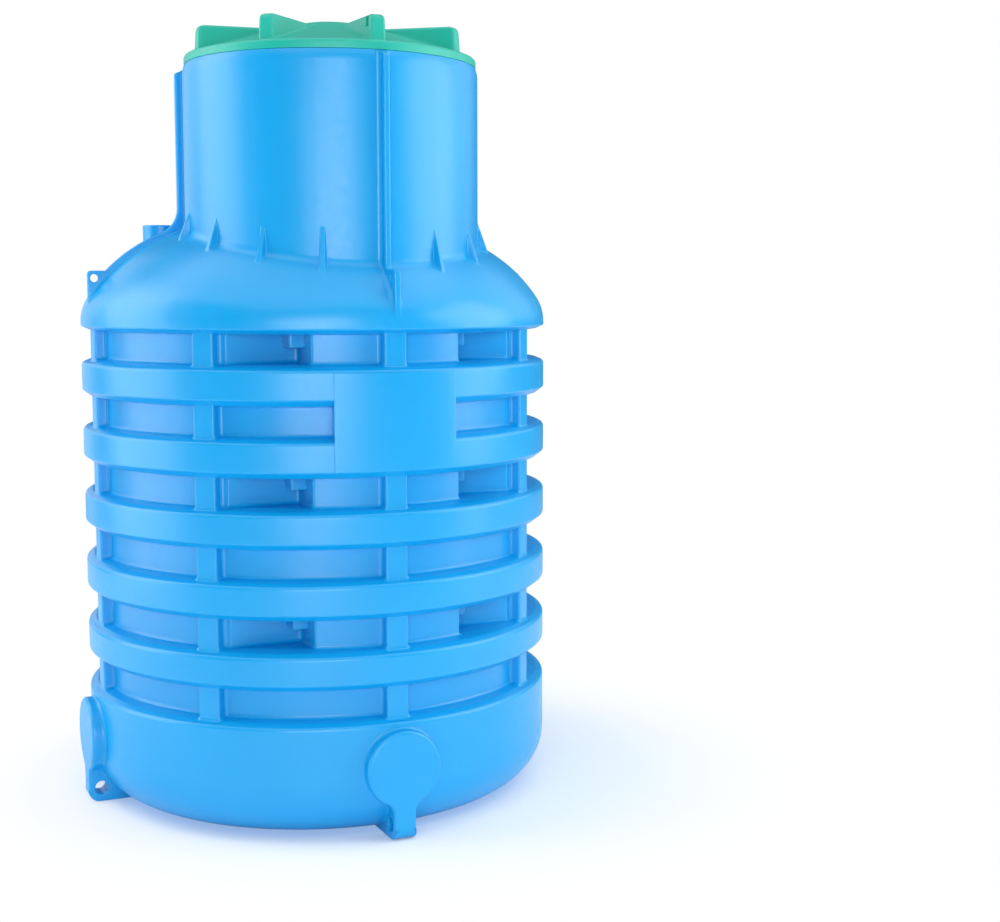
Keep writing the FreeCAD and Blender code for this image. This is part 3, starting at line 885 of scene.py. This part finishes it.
def lug_shell(angle):
    out, side = facing(angle)
    outline = lug_outline()
    normals = outline_normals(outline)
    face = LUG_R - LUG_EDGE
    flare_share = np.clip((outline[:, 1] - LUG_FLARE_LOW) / (LUG_FLARE_HIGH - LUG_FLARE_LOW), 0, 1)
    start = tub_reach(outline)
    rows = []
    for offset, lift in LUG_FOOT:
        shifted = outline + normals * (offset * flare_share)[:, None]
        rows.append((shifted, np.minimum(tub_reach(shifted) + lift, face - 1)))
    for x in LUG_FLANK:
        rows.append((outline, np.maximum(np.full(len(outline), x), start + LUG_FLANK_START)))
    for bend in quarter(5)[1:]:
        inset = LUG_EDGE * (1 - math.cos(bend))
        rows.append((outline - normals * inset, np.full(len(outline), face + LUG_EDGE * math.sin(bend))))
    grid = []
    for shifted, reach in rows:
        past_toe = np.maximum(reach - (LUG_R - LUG_TOE), 0)
        toe = LUG_TOE - np.sqrt(np.maximum(LUG_TOE ** 2 - past_toe ** 2, 0))
        height = np.maximum(shifted[:, 1], np.where(shifted[:, 1] < LUG_TOE + 1, toe, 0))
        grid.append(out[None] * reach[:, None] + side[None] * shifted[:, :1] + UP[None] * height[:, None])
    return shell(grid, capped=True)


for word, angle in QUARTERS.items():
    name = f"{word}_lug"
    lug = body_piece(name, [lug_shell(angle)], [name])
    out, side = facing(angle)
    cut_eye(lug, out * LUG_EYE_OUT + UP * LUG_EYE_Z, side, LUG_EYE_R, LUG_HALF, LUG_EYE_SOFT)
    weigh_normals(lug)

# Vent boss on the shoulder, with its foot as (offset from its wall, height over the dome)
BOSS_FOOT = ((0, 9), (0.7, 5), (2.5, 2.4), (5, 0.7), (9, 0), (9, -8))
edge_r, edge_z = BOSS_R - BOSS_EDGE, BOSS_TOP - BOSS_EDGE
boss_rows = [turned(r, BOSS_TOP, BOSS_COLUMNS, BOSS_SPOT) for r in (TINY_R, 20, edge_r)]
for bend in quarter(5)[1:]:
    boss_rows.append(turned(edge_r + BOSS_EDGE * math.sin(bend), edge_z + BOSS_EDGE * math.cos(bend),
                            BOSS_COLUMNS, BOSS_SPOT))
for offset, lift in BOSS_FOOT:
    ring = turned(BOSS_R + offset, BOSS_TOP, BOSS_COLUMNS, BOSS_SPOT)
    ring[:, 2] = np.minimum(dome_z(np.hypot(ring[:, 0], ring[:, 1])) + lift, BOSS_TOP - 5)
    boss_rows.append(ring)
weigh_normals(body_piece("vent_boss", [shell(boss_rows, capped=True)], ["vent_boss"]))


# Lid: turned cover and eight rounded ribs
def lid_z(r):
    """Height of the lid's cone at a distance from its axis."""
    share = np.clip((np.asarray(r, float) - LID_FLAT_R) / (LID_CONE_R - LID_FLAT_R), 0, 1)
    return LID_TOP - (LID_TOP - LID_LEDGE_Z) * share


skirt_r = LID_R - WALL - LID_SKIRT_GAP
skirt_z = LID_Z - LID_SKIRT_DEPTH
lid_profile, _ = rounded([
    (TINY_R, LID_TOP, 0), (30, LID_TOP, 0), (LID_FLAT_R, LID_TOP, 24), (200, float(lid_z(200)), 0),
    (LID_CONE_R, LID_LEDGE_Z, 12), (LID_R, LID_LEDGE_Z, LID_EDGE), (LID_R, LID_Z, 1), (skirt_r, LID_Z, 0),
    (skirt_r, skirt_z, 3), (skirt_r - WALL, skirt_z, 3), (skirt_r - WALL, LID_LEDGE_Z - WALL, 6),
    (LID_CONE_R - 12, LID_LEDGE_Z - WALL, 6), (LID_FLAT_R, LID_TOP - WALL, 20), (TINY_R, LID_TOP - WALL, 0),
], closed=False, steps=6)
weigh_normals(lid_piece("lid_cover", [lathe(lid_profile, LID_COLUMNS, (0.0, -NECK_Y), closed=False)],
                        ["lid_cover"]))

# Foot of a rib as (offset from its outline, height over the cone), and points along its flanks
RIB_FOOT = ((6, -5), (6, 0), (3.7, 0.5), (1.8, 1.8), (0.5, 3.7), (0, 6))
RIB_FLANK = (66, 200, 300, 335, 345, 352)


def lid_rib_crest(x):
    """Height of a rib's crest at a distance from the lid's axis."""
    over = np.clip(x - (LID_CONE_R - LID_RIB_DRAFT - LID_RIB_END), 0, LID_RIB_END)
    climb = LID_RIB_CLIMB * (LID_CONE_R - x) / (LID_CONE_R - LID_FLAT_R)
    return LID_LEDGE_Z + LID_RIB_H + climb - LID_RIB_END + np.sqrt(LID_RIB_END ** 2 - over ** 2)


def lid_rib_shell(angle):
    out, side = facing(angle)
    plan, _ = rounded([(x, -LID_RIB_HALF, 0) for x in RIB_FLANK]
                      + [(LID_CONE_R, v, LID_RIB_CORNER) for v in (-LID_RIB_HALF, LID_RIB_HALF)]
                      + [(x, LID_RIB_HALF, 0) for x in RIB_FLANK[::-1]])
    normals = outline_normals(plan)
    base = lid_z(np.hypot(plan[:, 0], plan[:, 1]))
    room = np.clip((lid_rib_crest(plan[:, 0] - LID_RIB_BACK) - base) / LID_RIB_ROOM, 0, 1)
    rows = []
    for offset, lift in RIB_FOOT:
        spot = plan + normals * (offset * room)[:, None]
        over_cone = np.where(lift > 0, lift * room, lift) - (1 - room) * LID_RIB_SINK
        rows.append((spot, lid_z(np.hypot(spot[:, 0], spot[:, 1])) + over_cone))
    for bend in quarter(5):
        spot = plan - normals * (LID_RIB_DRAFT + LID_RIB_CROWN * (1 - math.cos(bend)))
        rows.append((spot, lid_rib_crest(spot[:, 0]) - LID_RIB_CROWN * (1 - math.sin(bend))))
    grid = []
    for spot, level in rows:
        place = out[None] * spot[:, :1] + side[None] * spot[:, 1:] + np.array((0, -NECK_Y, 0))[None]
        place[:, 2] = level
        grid.append(place)
    return shell(grid, capped=True)


ribs = lid_piece("lid_ribs", [lid_rib_shell(360.0 / LID_RIBS * i) for i in range(LID_RIBS)], ["lid_ribs"])
slot_y = -NECK_Y - (LID_CONE_R - SLOT_INSET)
slot_top = LID_LEDGE_Z + LID_RIB_H - SLOT_BELOW
cut_box(ribs, [(x, slot_y + y, slot_top + z)
               for x in SLOT_ACROSS for y in SLOT_ALONG for z in SLOT_DEPTH])
weigh_normals(ribs)

# Pieces that stay as the CAD made them
for name in ("base_floor", "casing_socket"):
    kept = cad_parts[name]
    kept.data.materials.clear()
    kept.data.materials.append(blue)

# Floor, light and camera, in metres
FLOOR_HALF = 14
FLOOR_DROP = 0.0005
SHADOW_MIDDLE = (0.24, 0.0, 0.0)
SHADOW_NEAR, SHADOW_FAR = 0.62, 1.25
SHADOW_FADE = 0.1
# Painted blue reflected light on the floor round the tub's foot: where it fades out, its share and its colour
FOOT_NEAR, FOOT_FAR = 0.56, 0.645
PAINTED_BOUNCE_SHARE = 0.6
WHITE = (1.0, 1.0, 1.0)
PAINTED_BOUNCE_BLUE = (0.0, 0.34, 1.0)
CAMERA = Vector((-1.4211, -4.2972, 1.4052))
LOOK = Vector((0.41971, 0.90104, -0.10937))
AIM = Vector((0, 0, 1.1))
SENSOR_MM = 36.0
FOCAL_PIXELS, PICTURE_PIXELS = 1567.6, 1000

# Lamps: degrees round from the camera's side, distance, height, then width, length and power of the lamp
LAMPS = {
    "front_softbox": (0, 6.0, 1.6, 3.5, 2.9, 145),
    "left_softbox": (-91, 4.3, 1.8, 6.5, 3.3, 171),
    "upper_left_softbox": (-100, 4.3, 4.5, 5.9, 2.4, 25),
    "rear_left_softbox": (-140, 4.3, 2.0, 2.4, 3.6, 22),
    "right_softbox": (78, 4.4, 2.2, 3.5, 3.2, 106),
    "upper_right_softbox": (102, 4.4, 4.5, 5.0, 2.4, 25),
    "rear_right_softbox": (122, 4.4, 3.0, 3.2, 2.2, 18),
    "top_softbox": (10, 0.8, 7.0, 11.0, 11.0, 444),
}


def floor_material():
    """Matt pale floor that keeps the object's shadow and that the camera sees fade into white, with a painted
    blue reflected light close to the tub's foot.
    """
    made = bpy.data.materials.new("pale_floor")
    made.use_nodes = True
    tree = made.node_tree
    tree.nodes.remove(tree.nodes["Principled BSDF"])
    matt = node(tree, "ShaderNodeBsdfDiffuse", Color=(0.88, 0.93, 0.98, 1))
    bright = node(tree, "ShaderNodeEmission", Strength=1.0)
    place = tree.nodes.new("ShaderNodeTexCoord").outputs["Object"]

    def distance_to(spot):
        far = tree.nodes.new("ShaderNodeVectorMath")
        far.operation = "DISTANCE"
        far.inputs[1].default_value = spot
        tree.links.new(place, far.inputs[0])
        return far.outputs["Value"]

    fade = spread(tree, distance_to(SHADOW_MIDDLE), SHADOW_NEAR, SHADOW_FAR, SHADOW_FADE, 1.0,
                  "SMOOTHSTEP")
    # Painted reflected light: close to the tub's foot the camera sees the floor glow blue, in place of the
    # blue light that the tub throws on the floor
    foot = spread(tree, distance_to((0, 0, 0)), FOOT_NEAR, FOOT_FAR, PAINTED_BOUNCE_SHARE, 0.0, "SMOOTHSTEP")
    tree.links.new(mixed(tree, foot, WHITE, PAINTED_BOUNCE_BLUE), bright.inputs["Color"])
    to_camera = tree.nodes.new("ShaderNodeLightPath").outputs["Is Camera Ray"]
    seen = joined(tree, "MULTIPLY", joined(tree, "MAXIMUM", fade, foot), to_camera)
    blended(tree, seen, matt.outputs["BSDF"], bright.outputs["Emission"], "Material Output")
    return made


bm = bmesh.new()
bmesh.ops.create_grid(bm, x_segments=4, y_segments=4, size=FLOOR_HALF)
floor_mesh = mesh_from("floor", bm)
floor_mesh.materials.append(floor_material())
floor = placed("floor", floor_mesh)
floor.location = (0, 0, -FLOOR_DROP)

# Dim pale surroundings, which the camera sees as white
world = bpy.data.worlds.new("studio")
bpy.context.scene.world = world
world.use_nodes = True
tree = world.node_tree
pale = tree.nodes["Background"]
pale.inputs["Color"].default_value = (0.92, 0.96, 1.0, 1)
pale.inputs["Strength"].default_value = 0.12
white = node(tree, "ShaderNodeBackground", Color=(*WHITE, 1), Strength=1.0)
blended(tree, tree.nodes.new("ShaderNodeLightPath").outputs["Is Camera Ray"], pale.outputs["Background"],
        white.outputs["Background"], "World Output")


def softbox(name, swing, distance, height, width, tall, power):
    """Large soft lamp at an angle round the object from the camera's side, turned to the object."""
    base = math.atan2(CAMERA.y, CAMERA.x) + math.radians(swing)
    lamp = bpy.data.lights.new(name, "AREA")
    lamp.shape = "RECTANGLE"
    lamp.size, lamp.size_y = width, tall
    lamp.energy = power
    obj = placed(name, lamp)
    obj.location = (distance * math.cos(base), distance * math.sin(base), height)
    obj.rotation_euler = (AIM - obj.location).to_track_quat("-Z", "Z").to_euler()


for name, setting in LAMPS.items():
    softbox(name, *setting)

camera = bpy.data.cameras.new("camera")
camera.sensor_fit = "HORIZONTAL"
camera.sensor_width = SENSOR_MM
camera.lens = FOCAL_PIXELS / PICTURE_PIXELS * SENSOR_MM
camera.clip_end = 100
view = placed("camera", camera)
view.location = CAMERA
view.rotation_euler = LOOK.to_track_quat("-Z", "Y").to_euler()
bpy.context.scene.camera = view
bpy.context.scene.view_settings.view_transform = "Standard"
